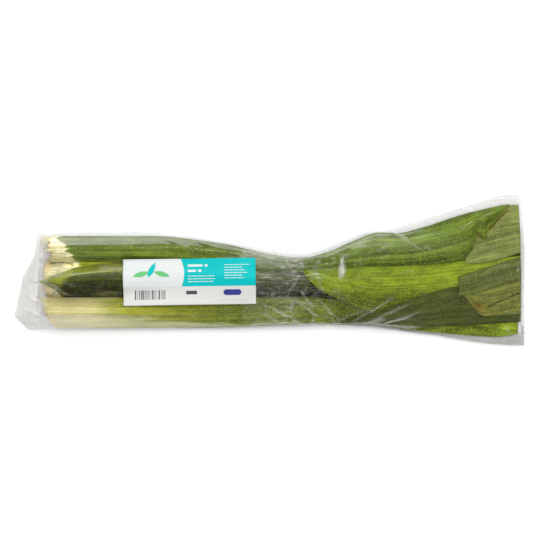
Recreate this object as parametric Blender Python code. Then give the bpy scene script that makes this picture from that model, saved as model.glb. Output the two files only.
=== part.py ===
"""A bunch of pandan leaves in a clear film bag with a stuck-on label.

The bunch lies on its side: X runs from the bag's mouth and the leaves' cut bases (-X) to the bag's
sealed end (+X), Y runs across it and Z is up. The origin is the centre of its footprint, on the
surface that it rests on. Sixteen leaves lie in three stacks at their bases, squeeze through a narrow
neck and fan out. Five of them are longer than the bag and are doubled back over the others.
"""

from dataclasses import dataclass

import bpy
import numpy as np

MM = 0.001

# The bag
MOUTH_X = -190.5  # where the film leaves the cut bases and starts to close
SEAL_X = 209.1  # where the two films meet in the end seal
BAG_END_X = 209.85
FILM_WALL = 0.5
FILM_CLEARANCE = 0.7  # between the leaves and the inside of the film
MOUTH_HEIGHT = 3.4  # outside, where the lips of the mouth are pressed together
SEAL_HEIGHT = 1.2
SEAL_Z = 5.5
FILM_SIDES = 24

# The leaves
BLADE = 0.6
MARGIN = 0.4
BASE_RIB = 3.8  # thickness of the fleshy midrib at the cut base
BASE_LENGTH = 190.0  # over which the base thins to the blade
PLY_GAP = 0.55
NECK_GAP = 0.8  # extra room between the leaves in the neck, where they are creased
NECK_X = 25.0
NECK_SPAN = 110.0
DRAPE = 24.0  # how far past an edge a leaf holds up what lies on it
FOLD_X = 201.5  # where the long leaves turn back
FOLD_ROOM = 1.6
TURN_STEPS = 6
ACROSS = 4  # quads across a leaf

STATION_STEP = 18.7
STATIONS = np.append(-190.0 + STATION_STEP * np.arange(21), [FOLD_X])

# The label
LABEL_SIZE = (110.0, 40.0)
LABEL_CENTRE = (-65.3, -8.7)
LABEL_TURN = np.radians(0.8)
LABEL_GAP = 0.8
LABEL_THICKNESS = 0.3


@dataclass
class Leaf:
    """Both edges of a leaf as (x, low y, high y) points in mm, from its cut base to its tip or its fold."""

    name: str
    colour: tuple
    out: list
    back: tuple = ()  # from the tip to the fold, of the part that is doubled back
    keel: float = 0.0  # height of the ridge along the middle of a leaf that nothing lies on
    detailed: bool = False  # its outline shows, so it has a row of points at each of its corners


GREEN = (0.16, 0.27, 0.05, 1)
DARK = (0.06, 0.10, 0.03, 1)
BRIGHT = (0.30, 0.42, 0.06, 1)
PALE = (0.30, 0.38, 0.16, 1)
CREAM = (0.62, 0.58, 0.30, 1)

# What each of the three stacks of bases leaves free between its neighbours, up to the neck.
BACK = [(-96, 7.6, 27), (-40, 4.2, 21), (0, -1.3, 13), (27, -2.3, 9.5)]
MIDDLE = [(-96, -22.6, 6.6), (-40, -22.8, 3.2), (0, -22.3, -2.2), (27, -22, -3.2)]
FRONT = [(-96, -47.5, -23.5), (-40, -47, -23.7), (0, -45.5, -23.2), (27, -45, -22.8)]

# From the lowest leaf to the highest, along the middle of the fan.
LEAVES = [
    Leaf("folded_leaf_short", PALE,
         [(-184, -22.6, 6.6), *MIDDLE, (100, -26, 4), (FOLD_X, -21, 10)],
         [(155, -31, -10), (160, -33.4, -8.5), (176, -30, -2), (FOLD_X, -21, 10)], keel=2.2),
    Leaf("folded_leaf_narrow", PALE,
         [(-181, -47.5, -23.5), *FRONT, (100, -42, -14), (FOLD_X, -33, 2)],
         [(173, -35, -20), (181, -36.5, -10), (FOLD_X, -33, 2)]),
    Leaf("folded_leaf_upper", PALE,
         [(-186, 7.6, 27), *BACK, (67, 0, 22), (110, 5, 32), (FOLD_X, 10.5, 53.5)],
         [(154, 16, 34), (165, 9.5, 44), (178, 8, 49.5), (FOLD_X, 10.5, 53.5)]),
    Leaf("folded_leaf_dark", DARK,
         [(-185, -47.5, -23.5), *FRONT, (100, -47, -20), (FOLD_X, -43, -14)],
         [(77, -44.5, -42), (100, -46.3, -34), (127, -47, -25), (155, -46.3, -16), (FOLD_X, -43, -14)]),
    Leaf("folded_leaf_bright", BRIGHT,
         [(-183, -22.6, 6.6), *MIDDLE, (100, -28, 6), (FOLD_X, -24, 11)],
         [(28, -1.8, -0.4), (38, -13.6, 0.6), (63, -26.8, 1.4), (91, -33, 2.3), (127, -30, 3.8),
          (163, -27, 6.5), (FOLD_X, -24, 11)]),
    Leaf("inner_leaf_1", GREEN, [(-188, 7.6, 27), *BACK, (90, 6, 30), (150, 18, 46), (192, 30, 42)]),
    Leaf("inner_leaf_2", GREEN, [(-186, -47.5, -23.5), *FRONT, (90, -46, -16), (150, -44, -10), (196, -31, -19)]),
    Leaf("inner_leaf_3", GREEN, [(-182, -22.6, 6.6), *MIDDLE, (90, -17, 13), (150, -12, 20), (188, -2, 9)]),
    Leaf("inner_leaf_4", GREEN, [(-180, 7.6, 27), *BACK, (90, 3, 30), (150, 12, 45), (194, 29, 45)]),
    Leaf("inner_leaf_5", GREEN, [(-188, -47.5, -23.5), *FRONT, (90, -45, -20), (150, -50, -22), (190, -46, -36)]),
    Leaf("inner_leaf_6", CREAM, [(-186, -22.6, 6.6), *MIDDLE, (90, -25, 8), (150, -28, 8), (184, -18, -6)]),
    Leaf("inner_leaf_7", PALE, [(-183, 7.6, 27), *BACK, (90, -3, 24), (150, -6, 26), (197, -4, 22)]),
    Leaf("leaf_lower_edge", BRIGHT,
         [(-184, -47.5, -23.5), *FRONT, (67, -44.6, -25), (106, -48.5, -28), (146, -53, -32), (185, -55.7, -36),
          (198, -52, -42)]),
    Leaf("leaf_top_front", CREAM, [(-189, -47.5, -23.5), *FRONT, (67, -43, -22), (110, -42, -20), (150, -36, -24)]),
    Leaf("leaf_top_middle", DARK,
         [(-188, -11, -9.8), (-182.6, -12.9, -7.4), (-174.3, -17.8, -4.2), (-168.5, -22.4, -2), (-157, -22.6, 2),
          (-138, -22.6, 4.6), *MIDDLE, (80, -26, 2), (120, -24, 0), (160, -14, -8)], detailed=True),
    Leaf("leaf_top_back", GREEN,
         [(-186, 7.6, 27), *BACK, (47, -1, 14), (67, 1, 22.5), (91, 2.3, 30.5), (106, 2.8, 30.2),
          (127, 3.7, 35), (150, 5, 42.5), (163, 8, 46.5), (176, 26, 50), (194, 51.5, 54)], keel=3.0, detailed=True),
]
FOLDED = [leaf for leaf in LEAVES if leaf.back]

# How far the film stands out in plan, as (x, low y, high y).
SILHOUETTE = [
    (-190.5, -48.5, 29), (-180, -49, 30.2), (-151, -49.6, 31.5), (-111, -49.4, 31.2), (-82, -49, 29.5),
    (-52, -48.6, 25.5), (-22, -47.6, 19), (7, -47, 15.5), (27, -46.6, 12.5), (47, -46.4, 17.5),
    (67, -46.6, 25.5), (87, -47.6, 32.5), (106, -49.8, 36), (126, -52, 41), (146, -55.7, 47.4),
    (166, -59, 53.2), (186, -61.5, 59.8), (201, -62.3, 62.3), (SEAL_X, -62.3, 61),
]
# The edge of the open mouth, which slants across the bag, as (y, x).
MOUTH_EDGE = [(-49, -200), (-38, -210.4), (-5, -203), (12, -193.4), (29, -191.2)]


def smoothstep(t):
    t = np.clip(t, 0, 1)
    return t * t * (3 - 2 * t)


def smooth_curve(points, x):
    """The smooth curve through (x, value, ...) points, read at x."""
    points = np.array(points, float)
    knots, values = points[:, 0], points[:, 1:]
    secants = np.diff(values, axis=0) / np.diff(knots)[:, None]
    before, after = secants[:-1], secants[1:]
    inner = np.where(before * after > 0, 2 * before * after / np.where(before + after == 0, 1, before + after), 0)
    slopes = np.concatenate([secants[:1], inner, secants[-1:]])
    x = np.clip(np.atleast_1d(x), knots[0], knots[-1])
    i = np.clip(np.searchsorted(knots, x, side="right") - 1, 0, len(knots) - 2)
    span = knots[i + 1] - knots[i]
    t = ((x - knots[i]) / span)[:, None]
    span = span[:, None]
    return (
        values[i] * (1 + 2 * t) * (1 - t) ** 2
        + slopes[i] * span * t * (1 - t) ** 2
        + values[i + 1] * t**2 * (3 - 2 * t)
        + slopes[i + 1] * span * t**2 * (t - 1)
    )


class Ply:
    """One leaf, or one of the two halves of a leaf that is doubled back, as a layer of the bunch."""

    def __init__(self, leaf, edges):
        self.leaf, self.edges = leaf, edges
        self.start, self.end = edges[0][0], edges[-1][0]
        self.is_back = edges is leaf.back

    def edges_at(self, x):
        return smooth_curve(self.edges, x)

    def across(self, x, y):
        """Where y lies across the leaf, from -1 at its low edge to 1 at its high edge."""
        low, high = self.edges_at(x)[0]
        return (2 * y - low - high) / (high - low)

    def thickness(self, x, y):
        rib = 0 if self.is_back else 1 - smoothstep((x - self.leaf.out[0][0]) / BASE_LENGTH)
        middle = BLADE + (BASE_RIB - BLADE) * rib
        return MARGIN + (middle - MARGIN) * np.clip(1 - self.across(x, y) ** 2, 0, 1)

    def holds_up(self, x, y):
        """1 over the leaf itself and as far as the next station, falling to 0 at DRAPE from there."""
        low, high = self.edges_at(x)[0]
        past_side = np.maximum(np.maximum(low - y, y - high), 0)
        past_end = max(self.start - x - STATION_STEP, x - self.end - STATION_STEP, 0)
        return 1 - smoothstep(np.hypot(past_side, past_end) / DRAPE)


def make_plies():
    """Every ply from the lowest to the highest. The folded leaves' upper halves lie in reverse order."""
    under_the_top = [Ply(leaf, leaf.out) for leaf in LEAVES[:-1]]
    doubled = [Ply(leaf, leaf.back) for leaf in reversed(FOLDED)]
    return [*under_the_top, *doubled, Ply(LEAVES[-1], LEAVES[-1].out)]


PLIES = make_plies()
FIRST_BACK = next(i for i, ply in enumerate(PLIES) if ply.is_back)


def underside_at_station(index, x, y):
    neck = 1 - smoothstep(abs(x - NECK_X) / NECK_SPAN)
    height = np.full(np.shape(y), FILM_WALL + FILM_CLEARANCE)
    for ply in PLIES[:index]:
        height = height + ply.holds_up(x, y) * (ply.thickness(x, y) + PLY_GAP + NECK_GAP * neck)
    if index >= FIRST_BACK:
        height = height + FOLD_ROOM * smoothstep((x - FOLD_X) / 30 + 1)
    return height


def middle_height(index, x, y):
    """The middle surface of a ply. It is straight between stations, so that no two plies cross there."""
    i = int(np.clip(np.searchsorted(STATIONS, x, side="right") - 1, 0, len(STATIONS) - 2))
    share = np.clip((x - STATIONS[i]) / (STATIONS[i + 1] - STATIONS[i]), 0, 1)
    under = [underside_at_station(index, STATIONS[j], y) for j in (i, i + 1)]
    keel = PLIES[index].leaf.keel * np.clip(1 - np.abs(PLIES[index].across(x, y)), 0, 1)
    if PLIES[index].leaf.back and not PLIES[index].is_back:
        keel = 0
    ends = smoothstep((x - PLIES[index].start) / 20) * smoothstep((PLIES[index].end - x) / 20)
    return under[0] * (1 - share) + under[1] * share + PLIES[index].thickness(x, y) / 2 + keel * ends


def rows_of(index):
    """The rows across a ply, each as (x, y, z, thickness, outer direction in XZ), from its base or tip on."""
    ply = PLIES[index]
    inside = STATIONS[(STATIONS > ply.start + 2) & (STATIONS < ply.end - 2)]
    if ply.is_back or ply.leaf.detailed:
        corners = [point[0] for point in ply.edges[1:-1]]
        inside = np.append(inside, [x for x in corners if np.abs(inside - x).min() > 2])
    rows = []
    for x in (ply.start, *np.sort(inside), ply.end):
        low, high = ply.edges_at(x)[0]
        y = np.linspace(low, high, ACROSS + 1)
        z = middle_height(index, x, y)
        outwards = (0, 1) if ply.is_back else (0, -1)
        rows.append((np.full_like(y, x), y, z, ply.thickness(x, y), outwards))
    return rows


def turn_rows(out_row, back_row):
    """The rows round the fold, between the last row out and the first row back."""
    _, y, low, thickness, _ = out_row
    high = back_row[2]
    middle, radius = (low + high) / 2, (high - low) / 2
    rows = []
    for angle in np.linspace(-np.pi / 2, np.pi / 2, TURN_STEPS + 1)[1:-1]:
        outwards = (np.cos(angle), np.sin(angle))
        rows.append((FOLD_X + radius * outwards[0], y, middle + radius * outwards[1], thickness, outwards))
    return rows


def rows_of_leaf(leaf):
    out = rows_of(LEAVES.index(leaf) if leaf is not LEAVES[-1] else len(PLIES) - 1)
    if not leaf.back:
        return out
    back = rows_of(next(i for i, ply in enumerate(PLIES) if ply.is_back and ply.leaf is leaf))[::-1]
    return [*out, *turn_rows(out[-1], back[0]), *back]


def leaf_surfaces(leaf):
    """The outer and inner surface of a leaf, each as an array of rows of points."""
    outer, inner = [], []
    for x, y, z, thickness, outwards in rows_of_leaf(leaf):
        for surface, side in ((outer, 0.5), (inner, -0.5)):
            shift = side * thickness
            surface.append(np.stack([x + shift * outwards[0], y, z + shift * outwards[1]], axis=1))
    return np.array(outer), np.array(inner)


def new_material(name, colour, roughness, alpha=1.0):
    material = bpy.data.materials.new(name)
    material.use_nodes = True
    shader = material.node_tree.nodes["Principled BSDF"]
    shader.inputs["Base Color"].default_value = colour
    shader.inputs["Roughness"].default_value = roughness
    shader.inputs["Metallic"].default_value = 0.0
    shader.inputs["Alpha"].default_value = alpha
    return material


def new_object(name, points, faces, material):
    mesh = bpy.data.meshes.new(name)
    mesh.from_pydata([tuple(point * MM) for point in points], [], faces)
    mesh.materials.append(material)
    mesh.shade_smooth()
    mesh.set_sharp_from_angle(angle=np.radians(40))
    made = bpy.data.objects.new(name, mesh)
    bpy.context.scene.collection.objects.link(made)
    return made


def slab(outer, inner):
    """Points and faces of the closed slab between two surfaces of the same rows."""
    rows, columns = outer.shape[:2]
    points = np.concatenate([outer.reshape(-1, 3), inner.reshape(-1, 3)])
    inner_start = rows * columns
    faces = []
    for i in range(rows - 1):
        for j in range(columns - 1):
            a, b = i * columns + j, (i + 1) * columns + j
            faces.append((a, b, b + 1, a + 1))
            faces.append(tuple(inner_start + k for k in (a, a + 1, b + 1, b)))
    rim = [j for j in range(columns)]
    rim += [i * columns + columns - 1 for i in range(1, rows)]
    rim += [(rows - 1) * columns + j for j in range(columns - 2, -1, -1)]
    rim += [i * columns for i in range(rows - 2, 0, -1)]
    for a, b in zip(rim, rim[1:] + rim[:1], strict=True):
        faces.append((a, b, b + inner_start, a + inner_start))
    return points, faces


def make_leaf(leaf):
    # Along a leaf's first rows the outer surface faces down.
    outer, inner = leaf_surfaces(leaf)
    points, faces = slab(inner, outer)
    return new_object(leaf.name, points, faces, new_material(leaf.name, leaf.colour, 0.45))


class Film:
    """The bag's sections: a polygon round the leaves, held by its distance out in FILM_SIDES directions."""

    def __init__(self, leaf_points):
        angles = np.arange(FILM_SIDES) * 2 * np.pi / FILM_SIDES
        self.directions = np.stack([np.cos(angles), np.sin(angles)], axis=1)
        self.x = [*STATIONS, 205.0, 208.4]
        self.reach = []
        for i, x in enumerate(self.x):
            low_x = self.x[max(i - 1, 0)] - 1
            high_x = self.x[min(i + 1, len(self.x) - 1)] + 1
            near = leaf_points[(leaf_points[:, 0] >= low_x) & (leaf_points[:, 0] <= high_x)][:, 1:]
            self.reach.append(self.reach_round(near, x))
        self.reach = np.array(self.reach)

    def reach_round(self, near, x):
        low, high = smooth_curve(SILHOUETTE, x)[0]
        held = (self.directions @ near.T).max(axis=1) + FILM_CLEARANCE
        middle = near[:, 1].max() * 0.4
        guides = np.array([[low + FILM_WALL, middle], [high - FILM_WALL, middle]])
        reach = np.maximum(held, (self.directions @ guides.T).max(axis=1))
        return np.maximum(reach, self.directions @ np.array([(low + high) / 2, FILM_WALL]))

    def ring(self, reach, more):
        """The corners of the polygon whose sides lie at reach + more from the X axis."""
        reach = reach + more
        ahead = np.roll(reach, -1)
        normal, after = self.directions, np.roll(self.directions, -1, axis=0)
        turn = normal[:, 0] * after[:, 1] - normal[:, 1] * after[:, 0]
        y = (reach * after[:, 1] - ahead * normal[:, 1]) / turn
        z = (ahead * normal[:, 0] - reach * after[:, 0]) / turn
        return np.stack([y, z], axis=1)

    def top(self, x, y):
        """The height of the film's outside over a point of the plan."""
        i = int(np.clip(np.searchsorted(self.x, x, side="right") - 1, 0, len(self.x) - 2))
        share = (x - self.x[i]) / (self.x[i + 1] - self.x[i])
        reach = self.reach[i] * (1 - share) + self.reach[i + 1] * share + FILM_WALL
        up = self.directions[:, 1] > 0.1
        sides = reach[up, None] - np.outer(self.directions[up, 0], y)
        return (sides / self.directions[up, 1][:, None]).min(axis=0)


def lens_ring(film, low, high, height, middle):
    """A flat oval with the film's number of corners, for the pressed mouth and the seal."""
    angles = np.arctan2(film.directions[:, 1], film.directions[:, 0]) + np.pi / FILM_SIDES
    y = (low + high) / 2 + (high - low) / 2 * np.sign(np.cos(angles)) * np.abs(np.cos(angles)) ** 0.6
    z = middle + height / 2 * np.sign(np.sin(angles)) * np.abs(np.sin(angles)) ** 0.6
    return np.stack([y, z], axis=1)


def mouth_rings(film, more):
    """The rings from the lips of the mouth to the cut bases, at more outside the inner face of the film."""
    full = film.ring(film.reach[0], more)
    height = MOUTH_HEIGHT - 2 * (FILM_WALL - more)
    lips = lens_ring(film, -48.5 - more, 28.5 + more, height, MOUTH_HEIGHT / 2)
    edge_y, edge_x = np.array(MOUTH_EDGE).T
    rings = []
    for share in (0.0, 0.3, 0.65):
        ring = lips + (full - lips) * smoothstep(share)
        x = np.interp(ring[:, 0], edge_y, edge_x) * (1 - share) + MOUTH_X * share
        rings.append(np.column_stack([x, ring]))
    return rings


def film_rings(film, more):
    body = [
        np.column_stack([np.full(FILM_SIDES, x), film.ring(reach, more)])
        for x, reach in zip(film.x, film.reach, strict=True)
    ]
    return [*mouth_rings(film, more), *body]


def seal_rings(film):
    low, high = SILHOUETTE[-1][1:]
    rings = []
    for x in (SEAL_X, BAG_END_X):
        ring = lens_ring(film, low, high, SEAL_HEIGHT, SEAL_Z)
        rings.append(np.column_stack([np.full(FILM_SIDES, x), ring]))
    return rings


def make_film(film):
    """The bag: one wall with an outer and an inner face, joined round the lips and closed at the seal."""
    outer = [*film_rings(film, FILM_WALL), *seal_rings(film)]
    inner = film_rings(film, 0.0)
    points = np.concatenate([*outer, *inner])
    inner_start = len(outer) * FILM_SIDES
    faces = []
    for start, rings, outwards in ((0, outer, True), (inner_start, inner, False)):
        for i in range(len(rings) - 1):
            for j in range(FILM_SIDES):
                a = start + i * FILM_SIDES + j
                b = start + i * FILM_SIDES + (j + 1) % FILM_SIDES
                quad = (a, a + FILM_SIDES, b + FILM_SIDES, b)
                faces.append(quad[::-1] if outwards else quad)
    for j in range(FILM_SIDES):
        k = (j + 1) % FILM_SIDES
        faces.append((k, j, inner_start + j, inner_start + k))
    outer_end = (len(outer) - 1) * FILM_SIDES
    inner_end = inner_start + (len(inner) - 1) * FILM_SIDES
    faces.append([outer_end + j for j in range(FILM_SIDES)])
    faces.append([inner_end + j for j in reversed(range(FILM_SIDES))])
    material = new_material("clear_film", (0.9, 0.92, 0.93, 1), 0.1, alpha=0.3)
    return new_object("film_bag", points, faces, material)


def make_label(film):
    """A paper rectangle that follows the top of the film."""
    along = np.linspace(-0.5, 0.5, 15) * LABEL_SIZE[0]
    over = np.linspace(-0.5, 0.5, 11) * LABEL_SIZE[1]
    lower = []
    for a in along:
        x = LABEL_CENTRE[0] + a * np.cos(LABEL_TURN) - over * np.sin(LABEL_TURN)
        y = LABEL_CENTRE[1] + a * np.sin(LABEL_TURN) + over * np.cos(LABEL_TURN)
        z = [film.top(px, np.array([py]))[0] + LABEL_GAP for px, py in zip(x, y, strict=True)]
        lower.append(np.stack([x, y, z], axis=1))
    lower = np.array(lower)
    points, faces = slab(lower + [0, 0, LABEL_THICKNESS], lower)
    return new_object("label", points, faces, new_material("label_paper", (0.85, 0.86, 0.85, 1), 0.35))


def main():
    for old in list(bpy.data.objects):
        bpy.data.objects.remove(old)
    leaf_points = [np.concatenate(leaf_surfaces(leaf)).reshape(-1, 3) for leaf in LEAVES]
    film = Film(np.concatenate(leaf_points))
    for leaf in LEAVES:
        make_leaf(leaf)
    make_film(film)
    make_label(film)


main()
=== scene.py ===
"""The looks of the bagged bunch of pandan leaves: pleated leaves, a creased clear film and its label."""

import math

import bpy
import numpy as np
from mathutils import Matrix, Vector
from mathutils.bvhtree import BVHTree


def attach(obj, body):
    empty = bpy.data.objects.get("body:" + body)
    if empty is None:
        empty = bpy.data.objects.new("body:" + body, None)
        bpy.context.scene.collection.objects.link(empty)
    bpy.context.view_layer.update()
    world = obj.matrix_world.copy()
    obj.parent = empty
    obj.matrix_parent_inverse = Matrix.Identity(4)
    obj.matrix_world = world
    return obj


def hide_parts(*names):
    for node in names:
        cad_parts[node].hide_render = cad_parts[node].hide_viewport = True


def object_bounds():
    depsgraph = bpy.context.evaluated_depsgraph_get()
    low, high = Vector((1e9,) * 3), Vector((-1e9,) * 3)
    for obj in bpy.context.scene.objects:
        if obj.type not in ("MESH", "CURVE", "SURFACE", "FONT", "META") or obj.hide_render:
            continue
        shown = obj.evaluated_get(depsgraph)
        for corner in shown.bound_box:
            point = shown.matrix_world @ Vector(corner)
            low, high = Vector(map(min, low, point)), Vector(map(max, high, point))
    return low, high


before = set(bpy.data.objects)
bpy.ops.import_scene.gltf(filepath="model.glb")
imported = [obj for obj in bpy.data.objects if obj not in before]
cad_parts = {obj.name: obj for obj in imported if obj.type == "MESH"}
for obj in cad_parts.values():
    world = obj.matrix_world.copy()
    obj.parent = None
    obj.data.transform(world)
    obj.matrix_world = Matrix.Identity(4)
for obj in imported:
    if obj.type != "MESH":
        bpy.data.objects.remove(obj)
cad_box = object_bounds()

MM = 0.001

# ---------------------------------------------------------------- the bunch, in mm, as the CAD has it

FILM_WALL = 0.5
FILM_CLEARANCE = 0.7
BLADE = 0.6
MARGIN = 0.4
BASE_RIB = 3.8
BASE_LENGTH = 190.0
PLY_GAP = 0.55
NECK_GAP = 0.8
NECK_X = 25.0
NECK_SPAN = 110.0
DRAPE = 24.0
STATION_STEP = 18.7
FOLD_X = 204.5
FOLD_ROOM = 1.6
FOLD_REACH = 2.8
FOLD_STEPS = 9

# The three lanes that the stalks lie in, as (x, low y, high y).
BACK = [(-96, 7.6, 27), (-40, 4.2, 21), (0, -1.3, 13), (27, -2.3, 9.5)]
MIDDLE = [(-96, -22.6, 6.6), (-40, -22.8, 3.2), (0, -22.3, -2.2), (27, -22, -3.2)]
FRONT = [(-96, -47.5, -23.5), (-40, -47, -23.7), (0, -45.5, -23.2), (27, -45, -22.8)]


def smoothstep(t):
    t = np.clip(t, 0, 1)
    return t * t * (3 - 2 * t)


def smooth_curve(points, x):
    """The smooth curve through (x, value, ...) points, read at x."""
    points = np.array(points, float)
    knots, values = points[:, 0], points[:, 1:]
    secants = np.diff(values, axis=0) / np.diff(knots)[:, None]
    before, after = secants[:-1], secants[1:]
    product, total = before * after, before + after
    inner = np.where(product > 0, 2 * product / np.where(total == 0, 1, total), 0)
    slopes = np.concatenate([secants[:1], inner, secants[-1:]])
    x = np.clip(np.atleast_1d(x), knots[0], knots[-1])
    i = np.clip(np.searchsorted(knots, x, side="right") - 1, 0, len(knots) - 2)
    span = knots[i + 1] - knots[i]
    t = ((x - knots[i]) / span)[:, None]
    span = span[:, None]
    return (
        values[i] * (1 + 2 * t) * (1 - t) ** 2
        + slopes[i] * span * t * (1 - t) ** 2
        + values[i + 1] * t**2 * (3 - 2 * t)
        + slopes[i + 1] * span * t**2 * (t - 1)
    )


def value_noise(x, y, seed):
    """Smooth noise from -1 to 1, with features one unit apart."""
    grid = np.random.default_rng(seed).uniform(-1, 1, (64, 64))
    x, y = np.broadcast_arrays(np.asarray(x, float), np.asarray(y, float))
    i, j = np.floor(x).astype(int), np.floor(y).astype(int)
    a, b = smoothstep(x - i), smoothstep(y - j)
    i0, i1, j0, j1 = i % 64, (i + 1) % 64, j % 64, (j + 1) % 64
    low = grid[i0, j0] * (1 - a) + grid[i1, j0] * a
    high = grid[i0, j1] * (1 - a) + grid[i1, j1] * a
    return low * (1 - b) + high * b


def bump_at(u, centre, width):
    """1 at the centre, falling off smoothly both ways."""
    return np.exp(-(((u - centre) / width) ** 2))


def tent(u, centre, width):
    """1 at the centre, falling in straight lines to 0 at the width."""
    return np.clip(1 - np.abs(u - centre) / width, 0, 1)


# ---------------------------------------------------------------- what each leaf looks like

# Colours of the blade, its yellowish young part, which also serves as a painted highlight, its underside.
BLADES = {
    "mid": ((0.095, 0.142, 0.010), (0.21, 0.25, 0.020), (0.180, 0.208, 0.058)),
    "dark": ((0.034, 0.044, 0.004), (0.25, 0.28, 0.030), (0.060, 0.076, 0.010)),
    "bright": ((0.160, 0.220, 0.008), (0.23, 0.28, 0.015), (0.175, 0.235, 0.008)),
    "front": ((0.120, 0.152, 0.010), (0.315, 0.325, 0.022), (0.18, 0.21, 0.04)),
    "grey": ((0.085, 0.105, 0.020), (0.15, 0.18, 0.03), (0.098, 0.118, 0.026)),
    "olive": ((0.10, 0.12, 0.02), (0.20, 0.22, 0.04), (0.160, 0.170, 0.032)),
}


class Leaf:
    """A leaf's edges as (x, low y, high y) from its base, its doubled part from its tip, and its finish."""

    def __init__(self, name, slot, blade, out, back=(), **finish):
        self.name, self.slot, self.blade, self.out, self.back = name, slot, blade, out, back
        self.finish = {"cream": -150, "young": -60, "rows": 4.0, "columns": 14, "pleats": None, "rag": 0.0,
                       "uneven": 1.1}
        self.finish.update(finish)


def fibre_ridges(x, u, pitch, seed):
    """The fibrous base of a stalk: ridges along it that come and go."""
    ridges = np.abs(value_noise(x / 14, u / pitch, seed))
    return np.sqrt(ridges) * (0.6 + 0.4 * value_noise(x / 4, u / pitch / 2, seed + 1))


def pleats_back(x, u):
    """Shallow ribs at the base, deep pleats over the fan, and a ragged thicker stub."""
    fan = smoothstep((x - 40) / 50)
    at_base = 1.0 * tent(u, 0.35, 0.5) + 1.4 * tent(u, -0.55, 0.35)
    folds = 2.0 * tent(u, -0.62, 0.30) + 2.6 * bump_at(u, 0.35, 0.4) + 1.0 * tent(u, -0.15, 0.16)
    stub = (1.2 + 1.6 * fibre_ridges(x, u, 0.22, 71)) * smoothstep((-165.5 - 8 * u - x) / 1.6)
    return at_base * (1 - fan) + folds * fan + stub


def pleats_base(x, u):
    """The lumpy fibrous end of the cream stalk."""
    lump = smoothstep((-150 - x) / 16)
    return lump * (2.2 * bump_at(u, 0.55, 0.5) + 1.8 * fibre_ridges(x, u, 0.16, 75))


def pleats_upper(x, u):
    """The leaf beside the top one: a second layer ends along a line across the doubled part."""
    layer = 1.3 * smoothstep((u + 0.25 - 0.0045 * (x - 165)) / 0.03)
    return layer + 0.8 * tent(u, 0.5, 0.4)


def pleats_middle(x, u):
    """The top leaf of the middle lane is folded along its midrib like a roof."""
    roof = np.where(u > 0.45, (1 - u) / 0.55, (1 + u) / 1.45)
    return 6.0 * roof * smoothstep((x + 189) / 26) * (1 - 0.6 * smoothstep((x + 20) / 60))


def pleats_front(x, u):
    """Three round stalks side by side, flattening towards the neck."""
    ridges = 2.2 * np.sqrt(tent(u, 0.60, 0.36)) + 2.6 * np.sqrt(tent(u, 0.02, 0.32))
    ridges = ridges + 2.2 * np.sqrt(tent(u, -0.58, 0.32))
    return ridges * (1 - 0.6 * smoothstep((x + 110) / 130)) + 0.2 * fibre_ridges(x, u, 0.12, 73)


def pleats_bright(x, u):
    return 1.5 * tent(u, -0.25, 0.5) + 0.9 * bump_at(u, 0.5, 0.25)


def pleats_folded(x, u):
    return 1.0 * tent(u, 0.1, 0.8)


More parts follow.
